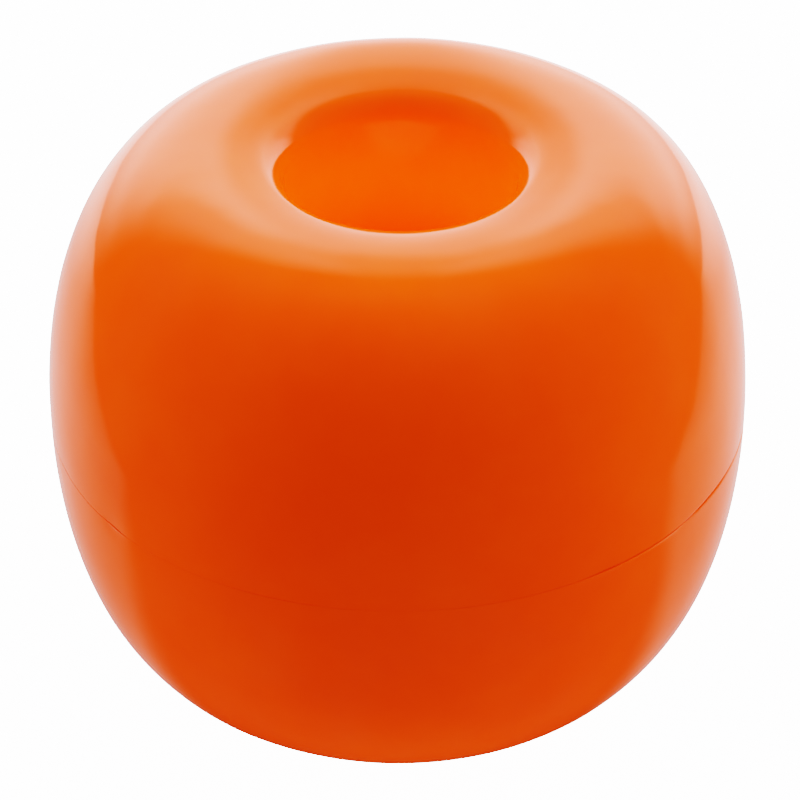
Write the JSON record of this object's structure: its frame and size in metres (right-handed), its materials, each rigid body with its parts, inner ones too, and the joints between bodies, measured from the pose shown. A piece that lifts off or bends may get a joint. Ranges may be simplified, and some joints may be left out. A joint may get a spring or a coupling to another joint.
{
  "type": "rope float",
  "caption": "Barrel-shaped hollow moulded float with a flared through bore along its axis for a rope, and a fine joint line around its equator.",
  "frame": {"origin": "centre of the bore at mid-height, which is also the middle of the whole float, in the joint plane of the two shells", "axes": "+Z along the bore axis towards the mouth of the upper shell; X and Y are any two directions in the joint plane, because the float is turned about Z"},
  "size_m": [0.08, 0.08, 0.065],
  "materials": {
    "orange_shell": "glossy injection-moulded orange plastic"
  },
  "bodies": {
    "root": {"upper_shell": "orange_shell", "lower_shell": "orange_shell"}
  },
  "joints": []
}
